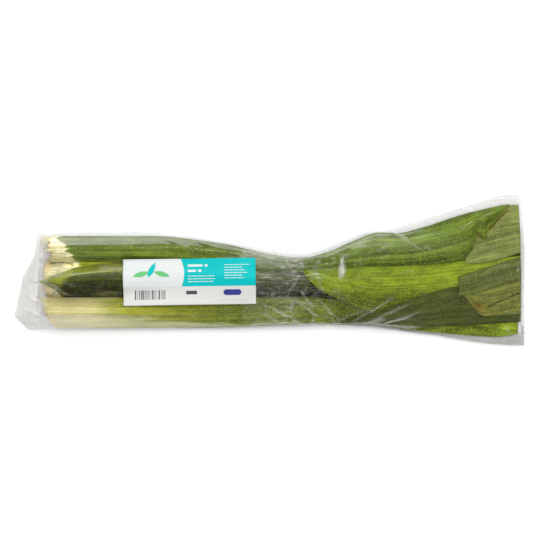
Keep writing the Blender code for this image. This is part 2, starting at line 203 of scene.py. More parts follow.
LEAVES = [
    Leaf("folded_leaf_short", "leaf_pale", "grey",
         [(-184, -22.6, 6.6), *MIDDLE, (100, -26, 4), (FOLD_X, -21, 10)],
         [(154.6, -21.0, -5.5), (158, -21.0, -4.6), (176, -17.0, 1), (FOLD_X, -8.0, 10)],
         pleats=pleats_folded, rows=2.5, columns=18),
    Leaf("folded_leaf_narrow", "leaf_pale", "olive",
         [(-181, -47.5, -23.5), *FRONT, (100, -42, -14), (FOLD_X, -33, 2)],
         [(160, -21.6, -20.0), (165, -27.5, -18.2), (171, -35, -16), (178, -38.5, -14), (FOLD_X, -36.5, -4)],
         pleats=pleats_folded, rows=1.6, columns=30, stain=1.0, rag=1.0),
    Leaf("folded_leaf_upper", "leaf_pale", "mid",
         [(-179.5, 7.6, 27), *BACK, (47, 0, 12), (67, 0, 21), (106, 5, 29), (127, 7, 34), (150, 8, 41.5),
          (FOLD_X, 10.5, 53.5)],
         [(162, 4.8, 34), (168, 5.0, 44), (178, 6.0, 49.5), (192, 9.0, 53.0), (FOLD_X, 13.5, 53.5)],
         pleats=pleats_upper, rows=1.5, columns=44),
    Leaf("folded_leaf_dark", "leaf_dark", "dark",
         [(-185, -47.5, -23.5), *FRONT, (100, -47, -20), (FOLD_X, -43, -14)],
         [(60, -44.7, -43), (77, -45.2, -38), (100, -46.3, -30), (127, -47, -21), (155, -46.3, -14),
          (FOLD_X, -43, -14)],
         pleats=pleats_folded, rows=2.5, columns=20, dots=0.5),
    Leaf("folded_leaf_bright", "leaf_bright", "bright",
         [(-183, -22.6, 6.6), *MIDDLE, (100, -28, 6), (FOLD_X, -24, 11)],
         [(27, -1.5, 0.6), (33, -8.5, 1.4), (40, -15.5, 2.2), (63, -27.0, 3.2), (91, -36, 4.2),
          (127, -34, 6.0), (163, -27, 7.6), (FOLD_X, -24, 11)],
         pleats=pleats_bright, rows=2.5, columns=24, dots=0.28),
    Leaf("inner_leaf_1", "leaf_green", "mid",
         [(-180, 7.6, 27), *BACK, (47, 0, 13), (67, 3, 21), (90, 6, 28), (106, 8, 29), (127, 12, 34),
          (150, 18, 41), (192, 30, 44)]),
    Leaf("inner_leaf_2", "leaf_green", "mid",
         [(-186, -47.5, -23.5), *FRONT, (90, -46, -16), (150, -44, -10), (196, -31, -19)]),
    Leaf("inner_leaf_3", "leaf_green", "mid",
         [(-182, -22.6, 6.6), *MIDDLE, (90, -17, 13), (150, -12, 20), (188, -2, 9)]),
    Leaf("inner_leaf_4", "leaf_green", "mid",
         [(-178, 7.6, 27), *BACK, (47, 0, 12), (67, 2, 20), (90, 3, 27), (106, 5, 28), (127, 8, 33),
          (150, 12, 40), (194, 29, 45)]),
    Leaf("inner_leaf_5", "leaf_green", "front",
         [(-188, -47.5, -23.5), *FRONT, (90, -45, -20), (150, -50, -22), (190, -46, -36)]),
    Leaf("inner_leaf_6", "leaf_cream", "front",
         [(-186, -22.6, 7.6), (-96, -22.6, 7.6), (-40, -22.8, 4), (0, -22.3, -1.5), (27, -22, -3.2),
          (90, -25, 8), (150, -28, 8), (184, -18, -6)],
         young=-60, rows=1.6, columns=36, fibres=1.0, pleats=pleats_base, uneven=2.6, stub=(-157.5, 2.0)),
    Leaf("inner_leaf_7", "leaf_pale", "mid",
         [(-179, 7.6, 27), *BACK, (90, -3, 24), (150, -6, 26), (197, -4, 22)]),
    Leaf("leaf_lower_edge", "leaf_bright", "bright",
         [(-184, -47.5, -23.5), *FRONT, (67, -44.6, -25), (106, -48.5, -28), (146, -53, -32),
          (185, -55.7, -36), (196, -55.2, -41), (205.5, -53, -43)], rows=2.0, columns=18),
    Leaf("leaf_top_front", "leaf_cream", "front",
         [(-189, -48.2, -22.2), (-96, -48.2, -22.2), (-40, -47.6, -22.4), (0, -46, -22.4), (27, -45, -22.2),
          (67, -43, -22), (110, -42, -20), (150, -36, -24)],
         cream=-108, young=-20, pleats=pleats_front, rows=1.8, columns=48, fibres=0.08, uneven=2.2),
    Leaf("leaf_top_middle", "leaf_dark", "dark",
         [(-188, -11, -9.8), (-182.6, -12.9, -7.4), (-174.3, -17.8, -4.2), (-168.5, -22.4, -2),
          (-157, -22.6, 2), (-138, -22.6, 4.6), *MIDDLE, (80, -26, 2), (120, -24, 0), (160, -14, -8)],
         cream=-300, young=-165, pleats=pleats_middle, rows=1.8, columns=40, ridge=0.45,
         dots=0.55),
    Leaf("leaf_top_back", "leaf_green", "mid",
         [(-181, 6.2, 27.6), (-96, 6.2, 27.6), (-40, 3.6, 21.5), (0, 0.0, 13), (27, 0.6, 9.5), (47, 1.6, 14),
          (67, 2.4, 22.5), (91, 3.0, 30.5), (106, 3.2, 30.2), (127, 4.0, 35), (150, 6.5, 42.5),
          (163, 12, 46.5), (169, 19, 48), (171.5, 27.5, 48.6), (178.5, 24.0, 50.2), (180, 31.5, 50.6),
          (186, 37, 52), (193, 45.5, 53.4), (198, 52.6, 54)],
         cream=-170, young=-150, pleats=pleats_back, rows=1.0, columns=44, rag=1.3,
         stub=(-165.5, -8.0), fibres=0.5, stain=0.9, uneven=2.6),
]
FOLDED = [leaf for leaf in LEAVES if leaf.back]


class Ply:
    """One leaf, or one of the two halves of a leaf that is doubled back, as a layer of the bunch."""

    def __init__(self, leaf, edges):
        self.leaf, self.edges = leaf, edges
        self.start, self.end = edges[0][0], edges[-1][0]
        self.is_back = edges is leaf.back
        self.shows = self.is_back or not leaf.back

    def low_high(self, x):
        """The two edges of the ply at each x."""
        low, high = smooth_curve(self.edges, x).T
        return low[:, None], high[:, None]

    def across(self, x, y):
        """-1 at the low edge, 1 at the high edge."""
        low, high = self.low_high(x)
        return (2 * y - low - high) / np.maximum(high - low, 0.5)

    def thickness(self, x, y):
        rib = 0 * x[:, None]
        if not self.is_back:
            rib = 1 - smoothstep((x[:, None] - self.leaf.out[0][0]) / BASE_LENGTH)
        middle = BLADE + (BASE_RIB - BLADE) * rib
        return MARGIN + (middle - MARGIN) * np.clip(1 - self.across(x, y) ** 2, 0, 1)

    def holds_up(self, x, y):
        """How much the ply lifts what lies on it: all of its height over it, less and less beside it."""
        low, high = self.low_high(x)
        past_side = np.maximum(np.maximum(low - y, y - high), 0)
        past_end = np.maximum(np.maximum(self.start - x, x - self.end) - STATION_STEP, 0)[:, None]
        return 1 - smoothstep(np.hypot(past_side, past_end) / DRAPE)

    def relief(self, x, y):
        """How far the pleats stand up. They fade towards the leaf's edges and its doubled end."""
        if not self.shows or self.leaf.finish["pleats"] is None:
            return np.zeros((len(x), y.shape[-1]))
        u = self.across(x, y)
        fade = smoothstep((1 - np.abs(u)) / 0.12) * smoothstep((self.end - x[:, None]) / 14)
        return self.leaf.finish["pleats"](x[:, None], u) * fade


X_GRID = np.arange(-192.0, 212.0, 2.0)
Y_GRID = np.arange(-68.0, 68.5, 0.5)


def blur(values, count, axis):
    """A running mean over a few neighbours, twice."""
    for _ in range(2):
        total = sum(np.roll(values, k, axis) for k in range(-count, count + 1))
        values = total / (2 * count + 1)
    return values


def stack_up():
    """Every ply from the lowest to the highest, the underside of each, and the height of them all."""
    plies = [Ply(leaf, leaf.out) for leaf in LEAVES[:-1]]
    plies += [Ply(leaf, leaf.back) for leaf in reversed(FOLDED)]
    plies.append(Ply(LEAVES[-1], LEAVES[-1].out))
    y = np.broadcast_to(Y_GRID, (len(X_GRID), len(Y_GRID)))
    neck = (1 - smoothstep(np.abs(X_GRID - NECK_X) / NECK_SPAN))[:, None]
    height = np.full(y.shape, FILM_WALL + FILM_CLEARANCE)
    fold = FOLD_ROOM * smoothstep((X_GRID - FOLD_X) / 30 + 1)[:, None]
    below_fold = True
    for ply in plies:
        if ply.is_back and below_fold:
            height = height + fold
            below_fold = False
        ply.under = blur(blur(height, 1, 0), 2, 1) + ply.relief(X_GRID, y)
        height = ply.under + ply.holds_up(X_GRID, y) * (ply.thickness(X_GRID, y) + PLY_GAP + NECK_GAP * neck)
    covered = np.zeros(y.shape, bool)
    top = np.full(y.shape, FILM_WALL + FILM_CLEARANCE)
    for ply in plies:
        low, high = ply.low_high(X_GRID)
        inside = (y >= low) & (y <= high) & (X_GRID[:, None] >= ply.start) & (X_GRID[:, None] <= ply.end + 4)
        covered |= inside
        top = np.where(inside, np.maximum(top, ply.under + ply.thickness(X_GRID, y)), top)
    return plies, covered, top


def read_grid(grid, x, y, xs=X_GRID, ys=Y_GRID):
    """The grid's value at x and y, read between its evenly spaced lines xs and ys."""
    x, y = np.asarray(x, float), np.asarray(y, float)
    i = np.clip((x - xs[0]) / (xs[1] - xs[0]), 0, len(xs) - 1.001)
    j = np.clip((y - ys[0]) / (ys[1] - ys[0]), 0, len(ys) - 1.001)
    i0, j0 = i.astype(int), j.astype(int)
    a, b = i - i0, j - j0
    low = grid[i0, j0] * (1 - b) + grid[i0, j0 + 1] * b
    high = grid[i0 + 1, j0] * (1 - b) + grid[i0 + 1, j0 + 1] * b
    return low * (1 - a) + high * a


PLIES, COVERED, TOP = stack_up()
# The cut stem lies on the back leaf's base, so the film stands over it too.
STEM_X, STEM_Y = -183, 23.6
STEM_Z = float(read_grid(TOP, STEM_X, STEM_Y)) + 1.2
NEAR_STEM = (np.abs(X_GRID[:, None] - STEM_X) < 7) & (np.abs(Y_GRID - STEM_Y) < 3.2) & COVERED
TOP = np.where(NEAR_STEM, np.maximum(TOP, STEM_Z + 2.4), TOP)


# ---------------------------------------------------------------- node materials


class Shader:
    """Builds a node material. Every method returns a socket that the next one takes."""

    def __init__(self, name):
        self.material = bpy.data.materials.new(name)
        self.material.use_nodes = True
        self.tree = self.material.node_tree
        self.tree.nodes.clear()
        self.output = self.tree.nodes.new("ShaderNodeOutputMaterial")

    def node(self, kind, settings=None, **inputs):
        made = self.tree.nodes.new(kind)
        for key, value in (settings or {}).items():
            setattr(made, key, value)
        for key, value in inputs.items():
            self.feed(made.inputs[key.replace("_", " ")], value)
        return made

    def feed(self, socket, value):
        if isinstance(value, bpy.types.NodeSocket):
            self.tree.links.new(value, socket)
        elif isinstance(value, tuple) and len(value) == 3 and socket.type == "RGBA":
            socket.default_value = (*value, 1)
        else:
            socket.default_value = value

    def attribute(self, name, output="Fac"):
        return self.node("ShaderNodeAttribute", {"attribute_name": name}).outputs[output]

    def math(self, operation, a, b=0.0, clamp=False):
        made = self.tree.nodes.new("ShaderNodeMath")
        made.operation, made.use_clamp = operation, clamp
        self.feed(made.inputs[0], a)
        self.feed(made.inputs[1], b)
        return made.outputs[0]

    def times(self, a, b):
        return self.math("MULTIPLY", a, b)

    def plus(self, a, b, clamp=False):
        return self.math("ADD", a, b, clamp)

    def mix(self, factor, a, b, blend="MIX"):
        made = self.tree.nodes.new("ShaderNodeMix")
        made.data_type, made.blend_type = "RGBA", blend
        self.feed(made.inputs[0], factor)
        self.feed(made.inputs[6], a)
        self.feed(made.inputs[7], b)
        return made.outputs[2]

    def noise(self, vector, scale, detail, roughness, output="Fac"):
        """Noise at one scale, or at a scale for each axis."""
        if isinstance(scale, tuple):
            vector, scale = self.stretch(vector, scale), 1.0
        made = self.node("ShaderNodeTexNoise", Vector=vector, Scale=scale, Detail=detail, Roughness=roughness)
        return made.outputs[output]

    def cells(self, vector, feature="F1", randomness=1.0):
        """The distance to the middle of a random cell, or to its edge."""
        made = self.node("ShaderNodeTexVoronoi", {"feature": feature}, Vector=vector, Scale=1.0,
                         Randomness=randomness)
        return made.outputs["Distance"]

    def stretch(self, vector, scale):
        made = self.node("ShaderNodeVectorMath", {"operation": "MULTIPLY"})
        self.feed(made.inputs[0], vector)
        made.inputs[1].default_value = scale
        return made.outputs[0]

    def ramp(self, value, low, high):
        """0 below low, 1 above high."""
        made = self.node("ShaderNodeMapRange", {"interpolation_type": "SMOOTHSTEP"}, Value=value)
        made.inputs["From Min"].default_value = low
        made.inputs["From Max"].default_value = high
        return made.outputs[0]

    def bump(self, height, strength, distance, normal=None):
        made = self.node("ShaderNodeBump", Height=height, Strength=strength, Distance=distance)
        if normal is not None:
            self.feed(made.inputs["Normal"], normal)
        return made.outputs[0]

    def blend(self, factor, a, b):
        made = self.tree.nodes.new("ShaderNodeMixShader")
        for socket, value in zip(made.inputs, (factor, a, b), strict=True):
            self.feed(socket, value)
        return made.outputs[0]

    def done(self, shader):
        self.tree.links.new(shader, self.output.inputs[0])
        return self.material

    def paint(self, colour, roughness, specular, normal=None):
        """Ends the material with one opaque surface."""
        made = self.node("ShaderNodeBsdfPrincipled", Base_Color=colour, Roughness=roughness)
        made.inputs["Specular IOR Level"].default_value = specular
        if normal is not None:
            self.feed(made.inputs["Normal"], normal)
        return self.done(made.outputs[0])


def scaled(colour, factor):
    return tuple(factor * c for c in colour)


CREAM = (0.74, 0.635, 0.31)
CREAM_FRONT = (0.54, 0.465, 0.20)
CREAM_FRONT_PALE = (0.61, 0.54, 0.25)
CREAM_WHITE = (0.85, 0.81, 0.64)
CUT = (0.66, 0.38, 0.15)
BROWN = (0.16, 0.075, 0.018)
OCHRE = (0.26, 0.20, 0.02)
FIBRE = (0.25, 0.24, 0.05)
DOT_TINT = (0.028, 0.036, 0.004)
NO_CHANGE = (1.0, 1.0, 1.0)


def leaf_material(leaf):
    """Parallel veins joined by fine cross veins, over a blade that pales to a cream base."""
    blade, young, under = BLADES[leaf.blade]
    s = Shader(leaf.name)
    place = s.attribute("place", "Vector")  # metres along, metres across, -1 to 1 across
    fine = s.noise(place, (12, 1700, 0), 2.0, 0.6)
    veins = s.noise(place, (7, 470, 0), 3.0, 0.6)
    bands = s.noise(place, (5, 130, 0), 2.0, 0.5)
    mottle = s.noise(place, (40, 90, 0), 4.0, 0.6)
    rust = s.noise(place, (110, 220, 0), 4.0, 0.65)
    cells = s.cells(s.stretch(place, (430, 560, 0)), randomness=0.5)
    band = s.ramp(bands, 0.3, 0.7)

    colour = s.mix(band, scaled(blade, 0.72), scaled(blade, 1.25))
    colour = s.mix(s.times(s.ramp(mottle, 0.5, 0.8), 0.35), colour, scaled(young, 0.7))
    # The young colour also paints the highlight on a lit facet.
    colour = s.mix(s.times(s.attribute("young"), s.ramp(bands, -0.2, 0.6)), colour, young)
    colour = s.mix(s.attribute("pale"), colour, s.mix(band, scaled(under, 0.8), under))
    pair = (CREAM_FRONT, CREAM_FRONT_PALE) if leaf.name == "leaf_top_front" else (CREAM, CREAM_WHITE)
    colour = s.mix(s.attribute("cream"), colour, s.mix(s.ramp(veins, 0.35, 0.65), *pair))
    fibres = s.ramp(s.noise(place, (130, 520, 0), 3.0, 0.7), 0.52, 0.64)
    colour = s.mix(s.times(fibres, s.attribute("fibre")), colour, FIBRE)
    stain = s.ramp(s.plus(s.attribute("stain"), s.times(rust, 0.8)), 0.85, 1.15)
    colour = s.mix(s.times(stain, 0.75), colour, s.mix(s.ramp(rust, 0.4, 0.6), BROWN, OCHRE))
    colour = s.mix(s.attribute("cut"), colour, s.mix(s.ramp(rust, 0.35, 0.6), CUT, CREAM))

    # Blotches and veins darken and lighten the blade, and the cream base less. The shade attribute multiplies
    # in painted shade and painted highlights.
    calm = s.times(s.attribute("cream"), 0.65)
    blotch = s.ramp(s.noise(place, (75, 170, 0), 3.0, 0.65), 0.35, 0.65)
    blotch = s.mix(blotch, (0.80, 0.80, 0.76), (1.2, 1.2, 1.16))
    vein_shade = s.mix(s.ramp(veins, 0.32, 0.68), (0.72, 0.74, 0.66), (1.24, 1.22, 1.18))
    fine_shade = s.mix(s.ramp(fine, 0.3, 0.7), (0.88, 0.88, 0.88), (1.1, 1.1, 1.1))
    for shade in (s.mix(calm, blotch, NO_CHANGE), s.mix(calm, vein_shade, (0.98, 0.98, 0.96)), fine_shade,
                  s.attribute("shade", "Color")):
        colour = s.mix(1.0, colour, shade, "MULTIPLY")
    dots = s.times(s.ramp(cells, 0.46, 0.18), leaf.finish.get("dots", 0.40))
    colour = s.mix(dots, colour, tuple(2.3 * c + tint for c, tint in zip(blade, DOT_TINT, strict=True)))

    height = s.plus(s.times(fine, 0.4), s.times(cells, -0.5))
    normal = s.bump(height, 0.6, 0.0007, s.bump(s.plus(veins, bands), 0.8, 0.0016))
    return s.paint(colour, s.plus(s.times(mottle, 0.25), 0.30), 0.28, normal)


def film_material():
    """Clear film: what is behind shows through, with a milky veil, white creases painted as highlights,
    painted shade where it passes less light, and fine reflections.
    """
    s = Shader("clear_film")
    place = s.attribute("place", "Vector")
    crinkled = s.attribute("crinkle")
    soft = s.noise(place, (150, 210, 0), 3.0, 0.55)
    streak = s.noise(place, (50, 380, 0), 2.0, 0.5)
    bent = s.node("ShaderNodeVectorMath", {"operation": "MULTIPLY_ADD"})
    s.feed(bent.inputs[0], s.noise(place, (40, 40, 0), 1.0, 0.5, "Color"))
    bent.inputs[1].default_value = (0.006, 0.006, 0)
    s.feed(bent.inputs[2], place)
    lines, facets = [], []
    for turn, scale in ((0.75, (38, 150, 0)), (-0.7, (46, 190, 0)), (0.15, (150, 330, 0))):
        turned = s.node("ShaderNodeMapping", Vector=bent.outputs[0])
        turned.inputs["Rotation"].default_value = (0, 0, turn)
        turned.inputs["Scale"].default_value = scale
        lines.append(s.ramp(s.cells(turned.outputs[0], "DISTANCE_TO_EDGE"), 0.085, 0.0))
        facets.append(s.cells(turned.outputs[0]))
    patches = s.ramp(s.noise(place, (70, 90, 0), 3.0, 0.6), 0.38, 0.68)
    crease = s.plus(s.plus(s.times(lines[0], 0.8), s.times(lines[1], 0.6)), s.times(lines[2], 0.22))
    crease = s.times(crease, s.plus(s.times(patches, 0.9), 0.1))
    facet = s.plus(facets[0], s.times(facets[1], 0.7))
    normal = s.bump(facet, s.times(crinkled, 0.8), 0.0022)
    normal = s.bump(soft, 0.22, 0.0012, s.bump(streak, 0.12, 0.001, normal))

    # Painted shade: the clear part passes less light where the film is marked dull and shaded.
    tint = s.mix(s.attribute("dull"), (0.968, 0.970, 0.972), (0.64, 0.64, 0.63))
    clear = s.node("ShaderNodeBsdfTransparent", Color=tint).outputs[0]
    veil = s.node("ShaderNodeBsdfDiffuse", Color=(0.80, 0.79, 0.76), Normal=normal).outputs[0]
    cloud = s.ramp(s.noise(place, (55, 80, 0), 3.0, 0.6), 0.3, 0.75)
    haze = s.times(s.attribute("haze"), s.plus(s.times(cloud, 0.35), 0.8))
    # Painted highlights: the fine crease lines are drawn white into the veil.
    haze = s.plus(haze, s.times(s.times(crease, crinkled), 0.29), clamp=True)
    gloss = s.node("ShaderNodeBsdfGlossy", Color=(1, 1, 1), Roughness=0.16, Normal=normal).outputs[0]
    fresnel = s.node("ShaderNodeFresnel", IOR=1.45, Normal=normal).outputs[0]
    sheen = s.math("SUBTRACT", 1.2, s.times(haze, 1.3), clamp=True)
    shine = s.times(s.math("MINIMUM", fresnel, 0.16), sheen)
    return s.done(s.blend(shine, s.blend(haze, clear, veil), gloss))


def print_material(name, colour):
    """Printed label paper under a thin varnish, with the faint mottle of a thermal print."""
    s = Shader(name)
    place = s.node("ShaderNodeTexCoord").outputs["Object"]
    grain = s.noise(place, 900.0, 3.0, 0.6)
    patch = s.noise(place, 60.0, 2.0, 0.5)
    tone = s.mix(s.ramp(grain, 0.3, 0.7), scaled(colour, 0.96), colour)
    tone = s.mix(s.times(s.ramp(patch, 0.45, 0.75), 0.2), tone, scaled(colour, 0.9))
    return s.paint(tone, 0.32, 0.2, s.bump(grain, 0.1, 0.0003))


# ---------------------------------------------------------------- meshes


def new_mesh_object(name, points, faces, materials, face_materials=None, attributes=None):
    mesh = bpy.data.meshes.new(name)
    mesh.from_pydata((np.asarray(points) * MM).tolist(), [], [tuple(int(k) for k in f) for f in faces])
    for material in materials:
        mesh.materials.append(material)
    if face_materials is not None:
        mesh.polygons.foreach_set("material_index", np.asarray(face_materials, np.int32))
    for key, values in (attributes or {}).items():
        values = np.asarray(values, np.float32)
        if values.ndim == 2:
            mesh.attributes.new(key, "FLOAT_VECTOR", "POINT").data.foreach_set("vector", values.ravel())
        else:
            mesh.attributes.new(key, "FLOAT", "POINT").data.foreach_set("value", values)
    mesh.shade_smooth()
    mesh.update()
    made = bpy.data.objects.new(name, mesh)
    bpy.context.scene.collection.objects.link(made)
    return made


def grid_faces(rows, columns, start=0, flip=False):
    i, j = np.meshgrid(np.arange(rows - 1), np.arange(columns - 1), indexing="ij")
    a = start + i * columns + j
    quads = np.stack([a, a + columns, a + columns + 1, a + 1], axis=-1).reshape(-1, 4)
    return quads[:, ::-1] if flip else quads


def slab_faces(rows, columns):
    """Faces of a closed slab between two surfaces of rows x columns points."""
    inner = rows * columns
    rim = list(range(columns)) + [i * columns + columns - 1 for i in range(1, rows)]
    rim += [(rows - 1) * columns + j for j in range(columns - 2, -1, -1)]
    rim += [i * columns for i in range(rows - 2, 0, -1)]
    a, b = np.array(rim), np.roll(rim, -1)
    side = np.stack([a, b, b + inner, a + inner], axis=1)
    return np.concatenate([grid_faces(rows, columns), grid_faces(rows, columns, inner, True), side])


# ---------------------------------------------------------------- leaves


def rows_of(ply):
    """The rows across a ply from its base or tip on, as arrays of x, y, middle z and thickness."""
    finish = ply.leaf.finish
    count = max(8, int((ply.end - ply.start) / finish["rows"]))
    x = np.linspace(ply.start, ply.end, count)
    low, high = ply.low_high(x)
    rag = finish["rag"]
    if rag:
        torn = smoothstep((x - 155) / 12) if not ply.is_back else smoothstep((178 - x) / 15)
        tear = value_noise(x / 1.7, 3.0, 11) + 0.6 * value_noise(x / 0.8, 9.0, 12)
        low = low + (torn * rag * tear)[:, None]
    u = np.linspace(-1, 1, finish["columns"] + 1)[None, :]
    y = (low + high) / 2 + (high - low) / 2 * u
    xx = np.broadcast_to(x[:, None], y.shape).copy()
    z = read_grid(ply.under, xx, y)
    thickness = ply.thickness(x, y)
    z = z + thickness / 2
    # The cut and torn ends are a little uneven.
    near_start = smoothstep(1 - (xx - ply.start) / 6)
    uneven = finish["uneven"] if not ply.is_back else 0.7
    seed = hash_of(ply.leaf.name)
    rough = value_noise(y / 3.1, 5.0, seed) + 0.6 * value_noise(y / 1.1, 8.0, seed)
    xx = xx + near_start * uneven * (rough + 0.5)
    if not ply.is_back and ply.edges[0][1] < -40:
        reach = np.clip(1 - (xx - ply.start) / 60, 0, 1)
        xx = xx + 12 * ((1 - u) / 2) ** 1.2 * reach
    return xx, y, z, thickness


def hash_of(name):
    """A number of its own for each name, the same in every run."""
    return sum(ord(c) * (k + 3) for k, c in enumerate(name)) % 1000


def leaf_surfaces(ply_out, ply_back):
    """The leaf's two faces as grids of points, and how far along the leaf each point is."""
    x, y, z, thickness = rows_of(ply_out)
    normal = np.stack([0 * z, 0 * z - 1], axis=-1)  # outwards in XZ, which is down on the way out
    along = np.broadcast_to(x[:, :1] - x[0, 0], z.shape)
    if ply_back is not None:
        back_x, back_y, back_z, back_thickness = [part[::-1] for part in rows_of(ply_back)]
        angle = np.linspace(-np.pi / 2, np.pi / 2, FOLD_STEPS + 1)[1:-1, None]
        middle, radius = (z[-1] + back_z[0]) / 2, (back_z[0] - z[-1]) / 2
        turn_x = FOLD_X + np.cos(angle) * np.minimum(radius, FOLD_REACH)
        turn_z = middle + np.sin(angle) * radius
        share = (np.sin(angle) + 1) / 2
        turn_y = y[-1] * (1 - share) + back_y[0] * share
        turn_along = along[-1, 0] + (angle + np.pi / 2) * 6
        back_along = turn_along[-1, 0] + (FOLD_X - back_x[:, :1])
        spread = np.zeros(turn_z.shape)
        turned = np.stack([np.cos(angle) + spread, np.sin(angle) + spread], axis=-1)
        upwards = np.stack([0 * back_z, 0 * back_z + 1], axis=-1)
        normal = np.concatenate([normal, turned, upwards])
        along = np.concatenate([along, turn_along + spread, back_along + 0 * back_z])
        x = np.concatenate([x, turn_x, back_x])
        y = np.concatenate([y, turn_y, back_y])
        z = np.concatenate([z, turn_z, back_z])
        thickness = np.concatenate([thickness, thickness[-1] + spread, back_thickness])
    half = normal * thickness[..., None] / 2
    outer = np.stack([x + half[..., 0], y, z + half[..., 1]], axis=-1)
    inner = np.stack([x - half[..., 0], y, z - half[..., 1]], axis=-1)
    return outer, inner, along


def leaf_attributes(leaf, points, along, side):
    """What the material reads at each point: where it is on the leaf, and how much yellowish new growth or
    painted highlight, pale underside or stain it has.
    """
    finish = leaf.finish
    x, y = points[..., 0], points[..., 1]
    middle = y.mean(axis=1, keepdims=True)
    half = np.maximum(np.ptp(y, axis=1, keepdims=True) / 2, 0.3)
    u = (y - middle) / half
    wander = 8 * value_noise(y / 7, x / 40, 21) + 2.5 * value_noise(y / 2, x / 25, 22)
    if finish.get("stub"):
        edge = finish["stub"][0] + finish["stub"][1] * u + 2.2 * value_noise(y / 1.3, 2.0, 23)
        cream = smoothstep((edge - x) / 1.6 + 0.5)
        young = smoothstep((finish["young"] + wander - x) / 40) * 0.8
    else:
        cream = smoothstep((finish["cream"] + wander - x) / 45)
        young = smoothstep((finish["young"] + 1.5 * wander - x) / 90)
    # Painted highlight: on a leaf folded along its midrib, the facet above the ridge, which faces the key
    # light, is given the pale young colour.
    if finish.get("ridge") is not None:
        lit = smoothstep((u - finish["ridge"] + 0.03) / 0.07)
        tip = 0.85 * smoothstep((-164 + 6 * u - x) / 9)
        young = np.maximum(tip, 0.85 * lit * (1 - smoothstep((x + 60) / 90)))
    pale = np.full(x.shape, 1.0 - side)
    stain = 0 * x
    if finish.get("stain"):
        if leaf.back:
            stain = finish["stain"] * np.exp(-(((x - 173) / 8) ** 2) - ((y + 31) / 6) ** 2) * (along > 380)
        else:
            rim = smoothstep(1 - (y - y.min(axis=1, keepdims=True)) / 6) * smoothstep((x - 158) / 12)
            rim = rim * (0.75 + 0.5 * value_noise(x / 4, y / 4, 93))
            stain = finish["stain"] * (0.50 * rim + 0.42 * smoothstep((x - 150) / 25))
    if leaf.name == "leaf_top_front":
        stain = 0.30 * smoothstep((x - 42) / 22) * smoothstep((-27 - y) / 6)
    edge_stain = 0.35 * smoothstep((np.abs(u) - 0.93) / 0.07) * (x > -120)
    stain = np.maximum(stain, edge_stain * (0.5 + 0.5 * value_noise(x / 11, u * 3, 24)))
    cut = smoothstep(1 - along / 2.2)
    if leaf.name == "inner_leaf_6":
        cut = np.maximum(cut, 0.9 * smoothstep((-178.5 + 2.5 * value_noise(y / 1.7, x / 3, 26) - x) / 2.5))
    fibre = finish.get("fibres", 0) * smoothstep((-140 - x) / 20)
    breadth = 0.5 * half + 0.5 * half.mean()
    place = np.stack([along * MM + 0.01 * hash_of(leaf.name), u * breadth * MM + side * 0.2, u], axis=-1)
    shade = leaf_shade(leaf, x, y, u)
    flat = {"shade": shade, "young": young, "pale": pale, "cream": cream, "stain": stain, "cut": cut,
            "fibre": fibre}
    return {"place": place.reshape(-1, 3), **{key: value.ravel() for key, value in flat.items()}}


def leaf_shade(leaf, x, y, u):
    """Where a leaf is darker or lighter than its blade, besides its veins. Some of it is painted shade and
    painted highlight, marked where it is.
    """
    shade = np.ones(x.shape)
    if leaf.name == "leaf_top_middle":
        # Painted shade: the steep facet below the midrib is darkened to under a third and the facet above it
        # lightened; the leaf is also darker towards the neck.
        steep_side = smoothstep(0.40 - u) * (x < 60) * (1 - 0.7 * smoothstep((-166 - x) / 10))
        shade = 1.15 - 0.85 * steep_side - 0.2 * smoothstep((x + 60) / 60)
    if leaf.name == "inner_leaf_6":
        # Painted light: the upper edge band, seen in the shaded gap between leaves, is lightened up to 2.6
        # times.
        shade = 1.0 + 1.6 * smoothstep((u - 0.55) / 0.16) * smoothstep((x + 172) / 10)
    if leaf.name == "folded_leaf_bright":
        # Painted shade: darker towards its low edge; also a little darker towards the base.
        shade = 1.08 - 0.62 * smoothstep((-12 - y) / 14) - 0.1 * smoothstep((60 - x) / 30)
    if leaf.name == "leaf_top_back":
        # Painted shade along the low edge over the fan; a band darker from the base to the neck; a painted
        # highlight, a pale sheen, on the upper half around x 105.
        shade = 1.0 - 0.25 * smoothstep((-0.72 - u) / 0.2) * smoothstep((x - 40) / 30)
        shade = shade - 0.2 * smoothstep((x + 100) / 60) * (1 - smoothstep((x - 20) / 30))
        shade = shade + 0.35 * bump_at(x, 105, 40) * bump_at(u, 0.55, 0.35)
    if leaf.name == "folded_leaf_narrow":
        crack = -29.8 + 0.40 * (x - 180) + 0.5 * value_noise(x / 5, 1.0, 92)
        shade = 1 - 0.85 * np.exp(-(((y - crack) / 0.8) ** 2)) * smoothstep((x - 178) / 3)
        shade = shade - 0.3 * smoothstep((crack + 9 - y) / 5) * smoothstep((178 - x) / 8)
    if leaf.name == "leaf_lower_edge":
        shade = 0.62 + 0.7 * smoothstep((x - 186) / 8) + 0.3 * value_noise(x / 9, y / 2, 91)
    if leaf.name == "leaf_top_front":
        past_cream = smoothstep((x + 112) / 40) * (1 - smoothstep((x + 60) / 50))
        shade = 1.0 - 0.22 * past_cream * bump_at(u, 0.3, 0.7) - 0.45 * smoothstep((x - 40) / 25)
    return shade


def make_leaf(leaf):
    out = next(ply for ply in PLIES if ply.leaf is leaf and not ply.is_back)
    back = next((ply for ply in PLIES if ply.leaf is leaf and ply.is_back), None)
    outer, inner, along = leaf_surfaces(out, back)
    rows, columns = along.shape
    above = leaf_attributes(leaf, inner, along, 1.0)
    below = leaf_attributes(leaf, outer, along, 0.0)
    attributes = {key: np.concatenate([above[key], below[key]]) for key in above}
    points = np.concatenate([inner.reshape(-1, 3), outer.reshape(-1, 3)])
    made = new_mesh_object("v_" + leaf.name, points, slab_faces(rows, columns), [leaf_material(leaf)],
                           attributes=attributes)
    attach(made, "root")
    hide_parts(leaf.name)
    return made


# ---------------------------------------------------------------- film

